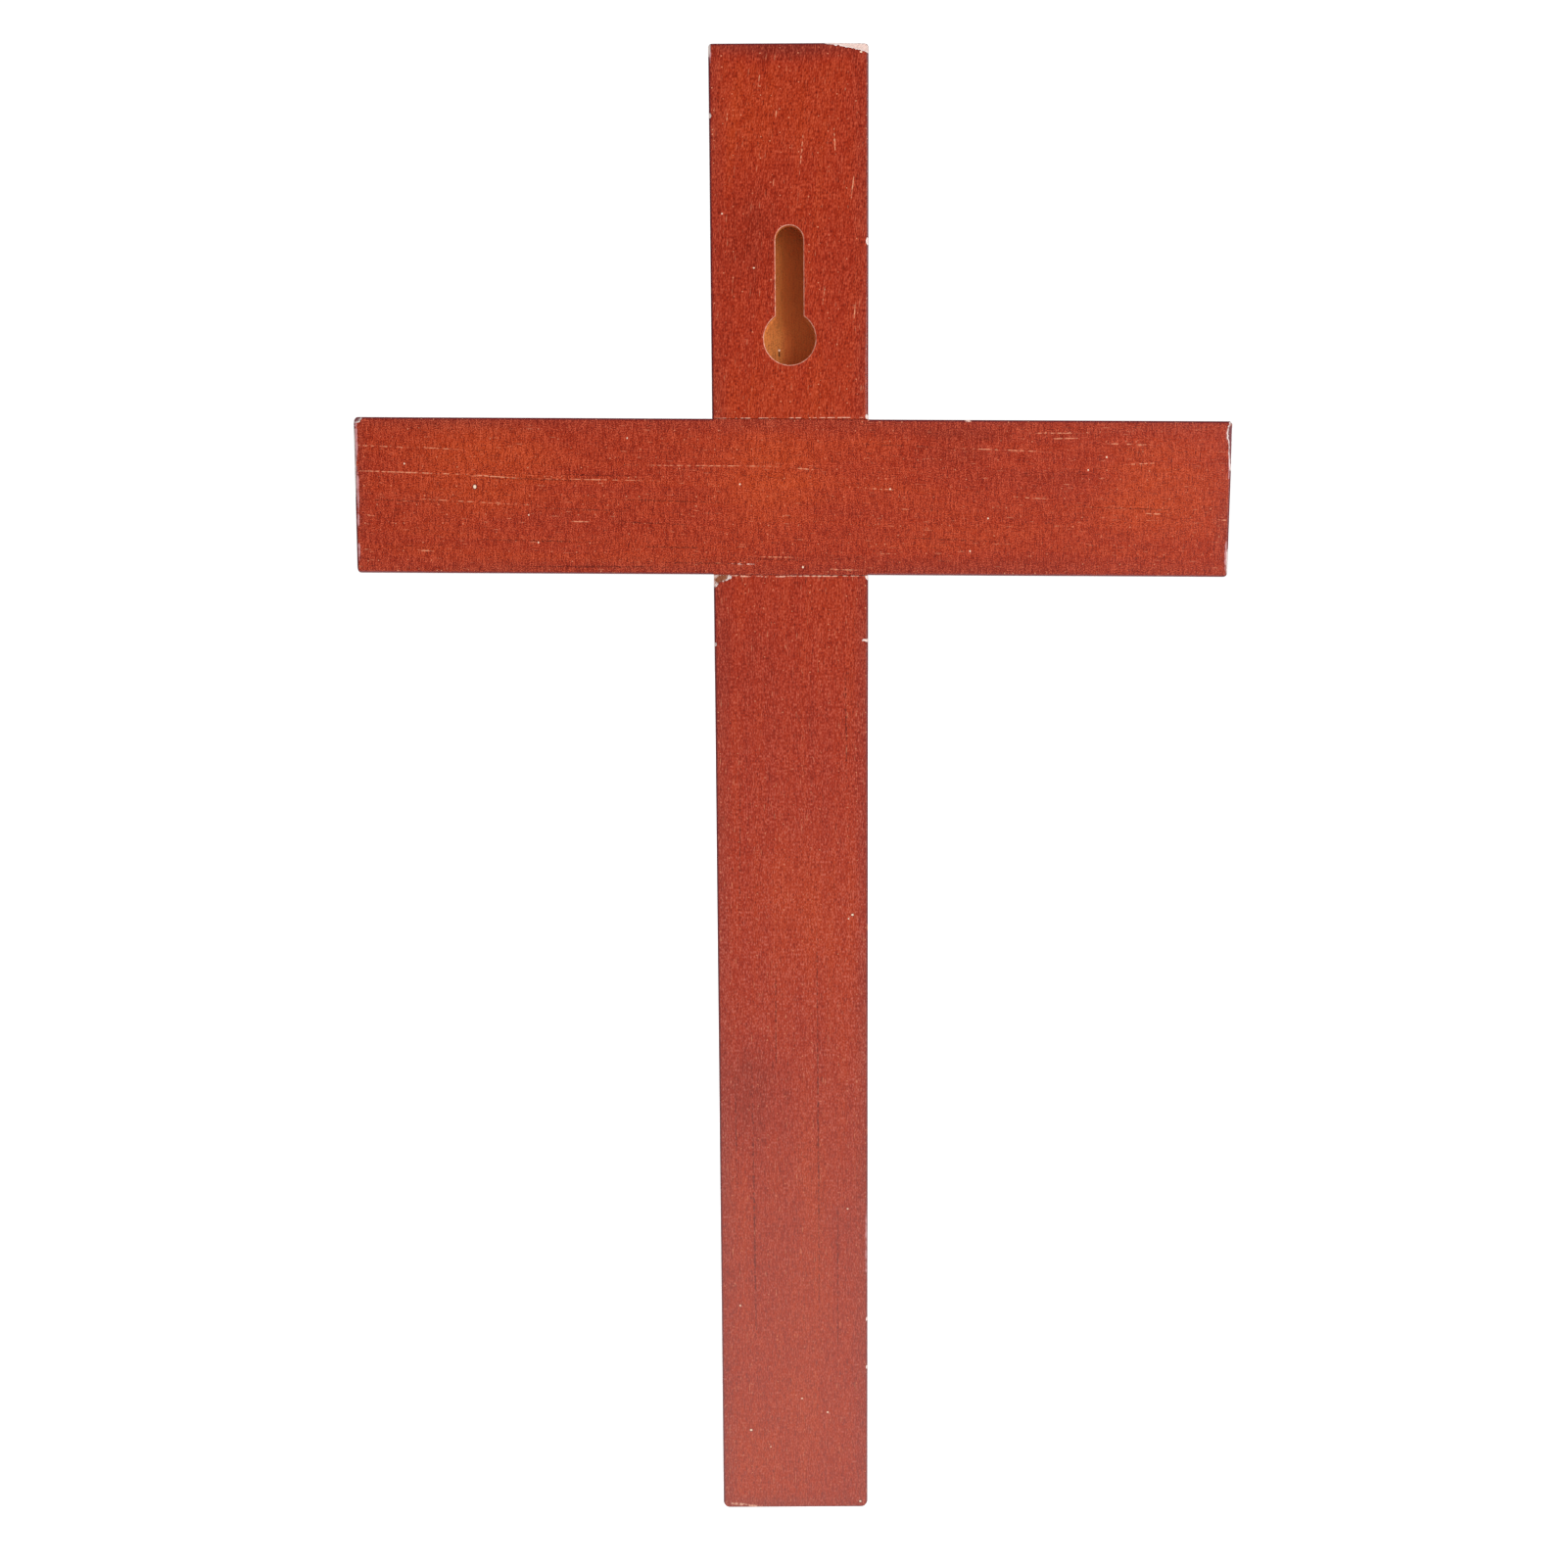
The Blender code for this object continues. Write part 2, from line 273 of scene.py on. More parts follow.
class WallCrossSizes(bpy.types.PropertyGroup):
    """The strips, the joint and the keyhole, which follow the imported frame."""

    upright_width: length_setting(
        "Upright width", "Width of the upright strip", UPRIGHT_HIGH.x - UPRIGHT_LOW.x, 0.015
    )
    thickness: length_setting(
        "Thickness", "Thickness of both strips, and so of the cross", UPRIGHT_HIGH.y - UPRIGHT_LOW.y, 0.008
    )
    upright_top: length_setting(
        "Top above crossing", "Height of the upright's top above the middle of the crossing", 0.0748, 0.05
    )
    upright_foot: length_setting(
        "Foot below crossing", "Depth of the upright's foot below the middle of the crossing", 0.1852, 0.05
    )
    crossbar_width: length_setting(
        "Crossbar width", "Width of the crossbar strip, seen from the front or back", 0.0265, 0.015
    )
    crossbar_high: length_setting(
        "Crossbar's high arm", "Length from the crossing's middle to the higher end", 0.07475, 0.03
    )
    crossbar_low: length_setting(
        "Crossbar's low arm", "Length from the crossing's middle to the lower end", 0.07555, 0.03
    )
    slant: FloatProperty(
        name="Crossbar slant",
        description="How far the crossbar is glued out of square",
        default=math.radians(0.6),
        unit="ROTATION",
    )
    crossing_height: length_setting(
        "Crossing height", "Height of the crossing's middle above the screw that holds it", -0.043, -1.0
    )
    lap_depth: length_setting(
        "Lap depth", "Depth of each strip's housing in the half-lap joint", 0.006, 0.002
    )
    joint_gap: length_setting(
        "Joint gap", "Glue line left between a housing and the strip in it", 0.00006, 0.0
    )
    arris: length_setting("Arris", "Radius that sandpaper left on the edges", 0.0004, 0.0001)
    slot_drop: length_setting(
        "Keyhole drop", "Distance from the screw's resting place down to the round hole", 0.0163, 0.005
    )
    slot_depth: length_setting(
        "Keyhole depth", "Depth of the keyhole's floor below the back", 0.0065, 0.003
    )
    slot_lip: length_setting(
        "Keyhole lip", "Thickness of the wood that the screw's head hooks behind", 0.0025, 0.001
    )


class WallCrossFinish(bpy.types.PropertyGroup):
    """Colours of the stain and of the wood under it."""

    stain: colour_setting("Stain", "Red mahogany stain where it lies evenly", "A82B0B")
    deep_stain: colour_setting(
        "Deep stain", "Stain that has gathered in pores and between fibres", "741809"
    )
    thin_stain: colour_setting(
        "Thin stain", "Stain so thin that the orange wood glows through", "C4440B"
    )
    plum: colour_setting(
        "Plum overspray", "Duller, cooler stain where the spray built up at the edges", "8A3328"
    )
    rubbed_stain: colour_setting(
        "Rubbed stain", "Lighter red of stain rubbed thin on the fibres' ridges", "FA7A55"
    )
    scratched_stain: colour_setting(
        "Scratched stain", "Salmon of wood that shows through scratches and missed pores", "F0A07A"
    )
    bare_wood: colour_setting("Bare wood", "Nearly white wood in chips and on rubbed arrises", "F6E4DE")
    routed_wood: colour_setting(
        "Routed wood", "Golden-brown wood in the keyhole, under a thin mist of stain", "D68743"
    )


class WallCrossStage(bpy.types.PropertyGroup):
    """The plain stage: floor, soft lights and how bright they are."""

    floor_colour: colour_setting(
        "Floor", "Colour of the floor, which a soft glow lifts to nearly white", "9C9C9A"
    )
    floor_height: length_setting(
        "Floor height", "Height of the floor, below the hanging cross", -0.246, -1.0
    )
    key_power: FloatProperty(
        name="Key light",
        description="Power of the large soft light on the side of the back",
        default=8.0,
        min=0.0,
        unit="POWER",
    )
    fill_power: FloatProperty(
        name="Fill light",
        description="Power of the large soft light on the side of the front",
        default=9.0,
        min=0.0,
        unit="POWER",
    )
    room_light: FloatProperty(
        name="Room light",
        description="Strength of the even light from all round",
        default=0.62,
        min=0.0,
    )


def ripple(points, size, seed):
    """A smooth value that wanders between about -1 and 1.

    It is the sum of ten sine waves of the points' place, each in its own direction, with lengths around
    the given size in millimetres. The size may differ along x, y and z.
    """
    count = 10
    chance = np.random.default_rng(seed)
    directions = chance.normal(size=(count, 3))
    directions /= np.linalg.norm(directions, axis=1, keepdims=True)
    waves = 2 * math.pi * directions / chance.uniform(0.7, 1.6, size=(count, 1))
    phases = chance.uniform(0, 2 * math.pi, size=count)
    return np.sin((points / np.asarray(size, float)) @ waves.T + phases).sum(axis=1) / 4


def rows_between(start, end, pitch, crowded):
    """Places from start to end, pitch millimetres apart, and closer round the crowded ones.

    Rows per millimetre are one over the pitch, or more near a crowded place, where a bell curve rises to
    one over its fine pitch. Adding that up along the strip and cutting the sum into equal parts gives the
    places.
    """
    line = np.linspace(start, end, 6001)
    density = np.full_like(line, 1 / pitch)
    for place, reach, fine in crowded:
        density = np.maximum(density, np.exp(-(((line - place) / reach) ** 2)) / fine)
    total = np.concatenate(([0.0], np.cumsum((density[1:] + density[:-1]) / 2 * np.diff(line))))
    return np.interp(np.linspace(0, total[-1], math.ceil(total[-1]) + 1), total, line)


def section_columns(half_width, half_thickness):
    """The columns of a strip's section, in order round it, anticlockwise seen from +z.

    Each column has a share of the core rectangle's half sides, from -1 to 1 in x and in y, and the unit
    direction in which the arris radius is added to it. The four sides run straight between four quarter
    circles. Columns crowd towards the back's arrises, where the knocks are.
    """
    low, high, fine = -half_width, half_width, 0.14
    back = rows_between(low, high, 0.45, [(low, 3.0, fine), (high, 3.0, fine)])
    front = rows_between(low, high, 0.9, [(low, 2.0, 0.3), (high, 2.0, 0.3)])
    side = rows_between(-half_thickness, half_thickness, 0.8, [(half_thickness, 1.2, fine)])
    back, front, side = back / half_width, front / half_width, side / half_thickness
    turn = np.linspace(0, math.pi / 2, 7)
    whole = np.ones_like(turn)
    parts = []
    for corner, (x, y, out_x, out_y, along) in enumerate(
        (
            (1, 1, 0, 1, back[-2:0:-1]),
            (-1, 1, -1, 0, side[-2:0:-1]),
            (-1, -1, 0, -1, front[1:-1]),
            (1, -1, 1, 0, side[1:-1]),
        )
    ):
        angle = turn + corner * math.pi / 2
        parts.append((x * whole, y * whole, np.cos(angle), np.sin(angle)))
        still = np.ones_like(along)
        share_x = out_x * still if out_x else along
        share_y = out_y * still if out_y else along
        parts.append((share_x, share_y, out_x * still, out_y * still))
    return [np.concatenate(column) for column in zip(*parts)]


def rounded_end(places, end, radius, way):
    """How far the side draws in near an end: radius less a quarter circle's height over the last radius."""
    past = np.clip(way * (places - end) + radius, 0, radius)
    return radius - np.sqrt(radius**2 - past**2)


def closed_skin(grid, poles):
    """The skin through a grid of points: its points, its quads and its triangles.

    Each row of the grid is wrapped round, and the first and last rows are closed by fans to two poles.
    """
    rows, columns = grid.shape[:2]
    number = np.arange(rows * columns).reshape(rows, columns)
    after = np.roll(number, -1, axis=1)
    quads = np.stack((number[:-1], after[:-1], after[1:], number[1:]), axis=-1).reshape(-1, 4)
    pole = np.full(columns, rows * columns)
    first = np.stack((pole, after[0], number[0]), axis=-1)
    last = np.stack((pole + 1, number[-1], after[-1]), axis=-1)
    return np.concatenate((grid.reshape(-1, 3), poles)), quads, np.concatenate((first, last))


def strip_skin(half_width, thickness, ends, corners, arris_of, crowded):
    """The closed skin of one strip.

    Row z and column c hold the point (share x (W - r) + r dx, share y (T - r) + r dy - thickness / 2, z),
    where W and T are half the width and thickness at z, drawn in by quarter circles at the ends, and r is
    the arris radius at z, blended from the four arrises by the column's shares. Each end is closed by
    rings that step in on its flat face and a fan to one point in the middle.
    """
    low, high = ends
    pitch, end_arris, least_radius = 0.7, 0.4, 0.03
    bend = 1 - np.sin(np.linspace(0, math.pi / 2, 8))
    rows = [rows_between(low, high, pitch, crowded)]
    for end, way, radius in ((low, -1, corners[0]), (high, 1, corners[1])):
        rows += [end - way * radius * bend, end - way * end_arris * bend]
    rows = np.unique(np.concatenate(rows).round(4))
    half_w = half_width - rounded_end(rows, low, corners[0], -1) - rounded_end(rows, high, corners[1], 1)
    half_t = thickness / 2 - rounded_end(rows, low, end_arris, -1) - rounded_end(rows, high, end_arris, 1)
    inset = np.array([0.1, 0.2, 0.32, 0.46, 0.64, 0.86, 1.15, 1.6, 2.3, 3.2])
    shrink = np.concatenate((inset[::-1], 0 * rows, inset))
    rows = np.concatenate((0 * inset + low, rows, 0 * inset + high))
    half_w = np.concatenate((half_w[0] - inset[::-1], half_w, half_w[-1] - inset))
    half_t = np.concatenate((half_t[0] - inset[::-1], half_t, half_t[-1] - inset))

    share_x, share_y, way_x, way_y = section_columns(half_width, thickness / 2)
    radius = np.zeros((len(rows), len(share_x)))
    for x, y in ((1, 1), (-1, 1), (-1, -1), (1, -1)):
        radius += arris_of(rows, x, y)[:, None] * (1 + x * share_x) * (1 + y * share_y) / 4
    radius = np.maximum(radius - shrink[:, None], least_radius)
    x = share_x * (half_w[:, None] - radius) + radius * way_x
    y = share_y * (half_t[:, None] - radius) + radius * way_y - thickness / 2
    z = np.broadcast_to(rows[:, None], x.shape)
    return closed_skin(np.stack((x, y, z), axis=-1), [(0, -thickness / 2, low), (0, -thickness / 2, high)])


def block_skin(low, high):
    """The eight corners and six faces of a plain block between two corners."""
    share = np.array([(x, y, z) for z in (0, 1) for y in (0, 1) for x in (0, 1)])
    points = np.array(low) + share * (np.array(high) - np.array(low))
    quads = [(0, 2, 3, 1), (4, 5, 7, 6), (0, 1, 5, 4), (2, 6, 7, 3), (0, 4, 6, 2), (1, 3, 7, 5)]
    return points, np.array(quads), np.zeros((0, 3), int)


def keyhole_outline(neck, hole, drop):
    """The outline of a keyhole whose neck has one radius and whose round hole, drop below it, has another.

    Half a circle round the neck's end, a straight side down to where it meets the hole's circle, and the
    rest of that circle, anticlockwise from +x towards +z.
    """
    meeting = math.asin(neck / hole)
    bottom = -drop + hole * math.cos(meeting)
    top = np.linspace(0, math.pi, 25)
    side = np.linspace(0, 1, 14)[1:-1]
    around = np.linspace(math.pi / 2 + meeting, 2.5 * math.pi - meeting, 49)
    x = (neck * np.cos(top), 0 * side - neck, hole * np.cos(around), 0 * side + neck)
    z = (neck * np.sin(top), bottom * side, -drop + hole * np.sin(around), bottom * side[::-1])
    return np.concatenate(x), np.concatenate(z)


def keyhole_skin(drop, depth, lip):
    """The cutter for the keyhole, as rings of its outline from above the back down to the floor.

    The mouth has a small broken edge, where the cutter tore the stained skin. Below the lip the outline
    widens to the groove that the screw's head slides in. Both ends close to one point.
    """
    neck, hole, groove, edge, above = 2.38, 4.4, 4.3, 0.14, 0.3
    rings = (
        (above, neck + 2.2 * edge, hole + 2.2 * edge),
        (0.0, neck + edge, hole + edge),
        (-edge, neck, hole),
        (-0.5, neck, hole),
        (-lip, neck, hole),
        (-lip - 0.1, groove, hole),
        (-depth + 0.25, groove, hole),
        (-depth + 0.07, groove - 0.07, hole - 0.07),
        (-depth, groove - 0.25, hole - 0.2),
    )
    grid = []
    for y, neck_radius, hole_radius in rings:
        x, z = keyhole_outline(neck_radius, hole_radius, drop)
        grid.append(np.stack((x, 0 * x + y, z), axis=-1))
    return closed_skin(np.array(grid), [(0, above, -drop), (0, -depth, -drop / 2)])


def in_row_frame(points, placing):
    """Points in a strip's own frame in millimetres, placed in the row frame in metres."""
    return points * MM @ np.array(placing.to_3x3()).T + np.array(placing.translation)


def new_piece(name, skin, placing, materials):
    """An object with its place in its mesh."""
    points, quads, fans = skin
    mesh = bpy.data.meshes.new(name)
    mesh.from_pydata(in_row_frame(points, placing).tolist(), [], quads.tolist() + fans.tolist())
    for material in materials:
        mesh.materials.append(material)
    piece = bpy.data.objects.new(name, mesh)
    bpy.context.scene.collection.objects.link(piece)
    return piece


def cut_away(piece, cutter):
    """Takes the cutter's shape out of the piece, which keeps the cutter's material on the cut."""
    cut = piece.modifiers.new("cut", "BOOLEAN")
    cut.operation = "DIFFERENCE"
    cut.solver = "EXACT"
    cut.material_mode = "TRANSFER"
    cut.object = cutter
    evaluated = piece.evaluated_get(bpy.context.evaluated_depsgraph_get())
    result = bpy.data.meshes.new_from_object(evaluated)
    if len(result.polygons) <= len(piece.data.polygons) // 2:
        raise RuntimeError(f"cutting {cutter.name} from {piece.name} left too little of it")
    old = piece.data
    piece.modifiers.clear()
    piece.data = result
    result.name = old.name
    bpy.data.meshes.remove(old)
    bpy.data.objects.remove(cutter)


def knock_centre(knock, half_width, ends):
    """A knock's or rub's middle on the back's edge, and the unit way into the wood from there."""
    share, z = knock[0], min(max(knock[1], ends[0]), ends[1])
    sideways = -np.sign(share) * (abs(share) > 0.95)
    lengthways = (z <= ends[0]) * 1.0 - (z >= ends[1])
    inward = np.array((sideways, -1.0, lengthways))
    return np.array((share * half_width, 0.0, z)), inward / np.linalg.norm(inward)


def knock_in(points, knocks, half_width, ends):
    """Pushes the points inside each knock's ellipsoid along its inward way until they lie on it.

    A point at u (in units of the reach) moving along v reaches the ellipsoid where |u + s v| = 1. The
    ellipsoid is roughened along the fibres, so that the break looks torn. Returns the moved points and
    how far each one moved.
    """
    moved = points.copy()
    torn = 1 + 0.08 * ripple(points, (0.45, 0.45, 1.2), 11)
    uneven = 0.86 + 0.14 * ripple(points, (0.3, 0.3, 0.9), 12)
    for knock in knocks:
        centre, inward = knock_centre(knock, half_width, ends)
        reach = np.array(knock[2:])
        u = (moved - centre) / reach * torn[:, None]
        v = inward / reach
        along, square = u @ v, (u**2).sum(axis=1)
        root = np.sqrt(np.maximum(along**2 - (v @ v) * (square - 1), 0))
        travel = np.where(square < 1, (root - along) / (v @ v), 0) * uneven
        moved += travel[:, None] * inward
    return moved, np.linalg.norm(moved - points, axis=1)


def rubbed(points, rubs, half_width, ends):
    """How thoroughly each point is rubbed: one in a rubbed place's middle, falling evenly to nought."""
    worn = np.zeros(len(points))
    for rub in rubs:
        centre, _ = knock_centre(rub, half_width, ends)
        distance = np.linalg.norm((points - centre) / np.array(rub[2:]), axis=1)
        worn = np.maximum(worn, np.clip(1.35 - distance, 0, 1))
    return worn


def edge_nearness(points, half_width, thickness, ends):
    """One on an edge of the strip, falling to nought half a millimetre away.

    The distance to the nearest edge is the root of the squares of the two smallest distances to the
    strip's planes.
    """
    gaps = (
        half_width - np.abs(points[:, 0]),
        np.minimum(-points[:, 1], points[:, 1] + thickness),
        np.minimum(points[:, 2] - ends[0], ends[1] - points[:, 2]),
    )
    nearest = np.sort(np.maximum(np.stack(gaps, axis=1), 0), axis=1)[:, :2]
    fade = 0.5
    return np.clip(1 - np.linalg.norm(nearest, axis=1) / fade, 0, 1)


def finish_strip(piece, placing, half_width, thickness, ends, knocks, rubs, lean, flush):
    """Chips the cut strip and stores what its finish needs at each point.

    "place" is the point in the strip's own frame in millimetres, and "grain" the same with x moved by
    lean(z) and a slow ripple, so that lines of equal x follow the fibres. "bare" is one where wood has
    broken off, "rub" is how thoroughly the stain is rubbed, and "arris" is how near an edge is, which the
    finish darkens as painted shade, less where two strips lie flush.
    """
    skin_depth, sharp_edge, level_edge_shade = 0.12, math.radians(35), 0.25
    mesh = piece.data
    points = np.empty(len(mesh.vertices) * 3)
    mesh.vertices.foreach_get("co", points)
    back = placing.inverted()
    points = (points.reshape(-1, 3) @ np.array(back.to_3x3()).T + np.array(back.translation)) / MM
    chipped, depth = knock_in(points, knocks, half_width, ends)
    grain = chipped.copy()
    grain[:, 0] += lean(chipped[:, 2]) + 0.35 * ripple(chipped, (22.0, 30.0, 45.0), 5)
    # How near an edge each point is, for the painted shade along the edges; weaker where two strips lie
    # flush.
    edges = edge_nearness(points, half_width, thickness, ends)
    edges *= np.where(flush(points), level_edge_shade, 1.0)
    placed = in_row_frame(chipped, placing)
    mesh.vertices.foreach_set("co", placed.astype(np.float32).ravel())
    for name, kind, field, values in (
        ("place", "FLOAT_VECTOR", "vector", chipped),
        ("grain", "FLOAT_VECTOR", "vector", grain),
        ("bare", "FLOAT", "value", np.clip(depth / skin_depth, 0, 1)),
        ("rub", "FLOAT", "value", rubbed(points, rubs, half_width, ends)),
        ("arris", "FLOAT", "value", edges),
    ):
        layer = mesh.attributes.new(name, kind, "POINT")
        layer.data.foreach_set(field, values.astype(np.float32).ravel())
    mesh.polygons.foreach_set("use_smooth", np.ones(len(mesh.polygons), bool))
    mesh.set_sharp_from_angle(angle=sharp_edge)
    mesh.update()


def add_node(tree, kind, settings=(), sockets=()):
    """Adds one node with its own settings and links.

    The kind is given without the ShaderNode that it begins with. A socket's entry is a value, a socket to
    link, or a node whose first live output it takes.
    """
    node = tree.nodes.new("ShaderNode" + kind)
    for name, value in dict(settings).items():
        setattr(node, name, value)
    live = {socket.name: socket for socket in reversed(node.inputs) if socket.enabled}
    for key, value in dict(sockets).items():
        socket = node.inputs[key] if isinstance(key, int) else live[key]
        if isinstance(value, bpy.types.Node):
            value = next(output for output in value.outputs if output.enabled)
        if isinstance(value, bpy.types.NodeSocket):
            tree.links.new(value, socket)
        else:
            socket.default_value = value
    return node


# Settings that several nodes share.
SMOOTH = {"interpolation_type": "SMOOTHSTEP"}
RGBA = {"data_type": "RGBA"}
TIMES = {"operation": "MULTIPLY"}
TIMES_PLUS = {"operation": "MULTIPLY_ADD"}
LARGER = {"operation": "MAXIMUM"}
UNSIGNED = {"operation": "ABSOLUTE"}


def laid_over(tree, colour, layers):
    """The colour under a stack of layers, each a shade and amounts whose product it is laid on with."""
    for shade, cover, *amounts in layers:
        for amount in amounts:
            cover = add_node(tree, "Math", TIMES, {0: cover, 1: amount})
        colour = add_node(tree, "Mix", RGBA, {"Factor": cover, "A": colour, "B": shade})
    return colour


def distance_from(tree, place, centre, reach, lean=0.0):
    """How far a place is from the centre, in units of the reach along axes that lean about y."""
    turn = (0.0, math.radians(lean), 0.0)
    sockets = {"Vector": place, "Location": centre, "Rotation": turn, "Scale": reach}
    local = add_node(tree, "Mapping", {"vector_type": "TEXTURE"}, sockets)
    return add_node(tree, "VectorMath", {"operation": "LENGTH"}, {0: local}).outputs["Value"]


def new_material(name):
    """An empty node material and its tree."""
    material = bpy.data.materials.new(name)
    material.use_nodes = True
    material.node_tree.nodes.clear()
    return material, material.node_tree


def end_in_shader(tree, sockets):
    """Ends a material's tree with its shader and its output."""
    shader = add_node(tree, "BsdfPrincipled", sockets=sockets)
    add_node(tree, "OutputMaterial", sockets={"Surface": shader})


def stained_hardwood(name, finish, half_width, ends, marks, grit_length, weave, seed):
    """Hardwood under sprayed red mahogany stain and satin lacquer.

    To the eye: warm brick red, gritty with short fibre ends a fifth of a millimetre wide, orange where
    the stain is thin, plum towards the edges where spray built up, and pale where the skin is broken.
    A dark line along the arrises is painted shade.
    The grit is drawn coarser than real fibres, about as fine as the photograph shows it.
    """
    material, tree = new_material(name)
    place, grain, bare, rub, arris = (
        add_node(tree, "Attribute", {"attribute_name": key}).outputs[output]
        for key, output in (
            ("place", "Vector"),
            ("grain", "Vector"),
            ("bare", "Fac"),
            ("rub", "Fac"),
            ("arris", "Fac"),
        )
    )
    across, out, along = add_node(tree, "SeparateXYZ", sockets={0: place}).outputs

    # Patterns by their features' size in millimetres, across, through and along the strip, and by detail.
    pattern = {}
    for number, (key, size, detail) in enumerate(
        (
            ("grit", (0.18, 0.18, grit_length), 0.0),
            ("fibres", (0.18, 0.18, 1.3), 0.0),
            ("crossing_lines", (1.1, 1.1, 0.18), 0.0),
            ("dashes", (0.7, 0.7, 0.8), 1.0),
            ("streaks", (1.7, 1.7, 42.0), 2.0),
            ("clouds", (13.0, 13.0, 21.0), 2.0),
            ("pores", (0.24, 0.24, 2.4), 1.0),
            ("missed", (0.2, 0.2, 2.0), 0.0),
        )
    ):
        shift = (seed + 3.7 * number, 1.3 * number, seed - 5.1 * number)
        sockets = {"Vector": grain, "Location": shift, "Scale": tuple(1 / side for side in size)}
        scaled = add_node(tree, "Mapping", sockets=sockets)
        sockets = {"Vector": scaled, "Scale": 1.0, "Detail": detail}
        pattern[key] = add_node(tree, "TexNoise", sockets=sockets)

    def marked(places, soft, thinner=1.0, deep=0.35):
        """Nought outside every mark, rising to one inside, with edges frayed by the fibres.

        A mark reaches the given depth from the back, so that it doesn't show on the front.
        """
        nearest = 99.0
        for x, z, half_x, half_z, lean in places:
            distance = distance_from(tree, place, (x, 0.0, z), (half_x * thinner, deep, half_z), lean)
            sockets = {0: nearest, 1: distance}
            nearest = add_node(tree, "Math", {"operation": "MINIMUM"}, sockets)
        frayed = add_node(tree, "Math", TIMES_PLUS, {0: pattern["grit"], 1: soft, 2: nearest})
        sockets = {"Value": frayed, "From Min": 1.25 + soft / 2, "From Max": 0.75 + soft / 2}
        return add_node(tree, "MapRange", SMOOTH, sockets)

    def blended(amounts, middle):
        """The middle value plus each pattern's departure from one half, times its amount."""
        total = middle - sum(amounts.values()) / 2
        for key, amount in amounts.items():
            sockets = {0: pattern[key], 1: amount, 2: total}
            total = add_node(tree, "Math", TIMES_PLUS, sockets)
        return total

    # How thin the stain is: nought is deep, one is thin.
    thin = blended({"fibres": 0.2, "streaks": 0.3, "clouds": 0.3}, 0.55)
    for x, z, half_x, half_z, amount in marks["patches"]:
        distance = distance_from(tree, place, (x, 0.0, z), (half_x, 30.0, half_z))
        sockets = {"Value": distance, "From Min": 1.2, "From Max": 0.2, "To Max": 0.8 * amount}
        lift = add_node(tree, "MapRange", SMOOTH, sockets)
        thin = add_node(tree, "Math", {"operation": "ADD"}, {0: thin, 1: lift})
    ramp = add_node(tree, "ValToRGB", sockets={"Fac": thin})
    ramp.color_ramp.elements[0].position = 0.12
    ramp.color_ramp.elements[0].color = finish.deep_stain
    ramp.color_ramp.elements[1].position = 0.95
    ramp.color_ramp.elements[1].color = finish.thin_stain
    ramp.color_ramp.elements.new(0.5).color = finish.stain

    # Amounts that rise smoothly from nought at the start to the most at the end, which may lie below it.
    middle, reach = (ends[0] + ends[1]) / 2, (ends[1] - ends[0]) / 2
    sideways = add_node(tree, "Math", UNSIGNED, {0: across})
    lengthways = add_node(tree, "Math", {"operation": "SUBTRACT"}, {0: along, 1: middle})
    lengthways = add_node(tree, "Math", UNSIGNED, {0: lengthways})
    frayed = add_node(tree, "Math", TIMES_PLUS, {0: pattern["grit"], 1: 0.35, 2: bare})
    patchy = add_node(tree, "Math", TIMES_PLUS, {0: pattern["dashes"], 1: 1.2, 2: rub})
    rise = {}
    for key, value, start, end, most in (
        ("side_band", sideways, half_width - 3.6, half_width, 0.6),
        ("end_band", lengthways, reach - 3.2, reach, 0.75),
        ("paling", along, 20.0, -120.0, marks["paling"]),
        ("dulled", along, -75.0, -140.0, 0.1),
        ("pores", pattern["pores"], 0.64, 0.8, 0.4),
        # painted shade along the edges
        ("arris", arris, 0.1, 0.6, 0.85),
        ("unbroken", pattern["dashes"], 0.4, 0.58, 0.85),
        ("broken_up", pattern["dashes"], 0.7, 0.4, 0.6),
        ("missed", pattern["missed"], 0.74, 0.86, 0.5),
        ("worn", patchy, 1.0, 1.5, 1.0),
        ("inner_half", out, -0.34, -0.14, 0.85),
        ("soaked", frayed, 0.3, 0.5, 0.7),
        ("broken", frayed, 0.55, 0.75, 1.0),
        ("deep", out, -0.2, -0.5, 1.0),
    ):
        sockets = {"Value": value, "From Min": start, "From Max": end, "To Max": most}
        rise[key] = add_node(tree, "MapRange", SMOOTH, sockets)

    # The fine weave of fibres is quieter down the low ends, where the lacquer lies thicker.
    sockets = {"Value": along, "From Min": -120.0, "From Max": 20.0, "To Min": 0.8, "To Max": 1.06}
    lively = add_node(tree, "MapRange", sockets=sockets)
    fine = add_node(tree, "Math", TIMES, {0: blended(weave, 0.0), 1: lively})
    ridges, furrows = (
        add_node(tree, "MapRange", sockets={"Value": fine, "From Max": full, "To Max": most})
        for full, most in ((1.0, 0.55), (-0.65, 1.0))
    )
    band = add_node(tree, "Math", LARGER, {0: rise["side_band"], 1: rise["end_band"]})
    cloudy = add_node(tree, "Math", TIMES_PLUS, {0: pattern["clouds"], 1: 1.6, 2: -0.15})
    scratches = {0: marked(marks["scratches"], 1.8, 0.6), 1: rise["unbroken"]}
    scratches = add_node(tree, "Math", TIMES, scratches)
    thinned = add_node(tree, "Math", LARGER, {0: scratches, 1: rise["missed"]})

    # A dust speck is a little wider than it is long, and a large one has a dark ring.
    rings = [(x, z, 1.5 * radius, 1.5 * radius, 0) for x, z, radius in marks["specks"] if radius >= 0.2]
    specks = [(x, z, 1.05 * radius, 0.85 * radius, 0) for x, z, radius in marks["specks"]]
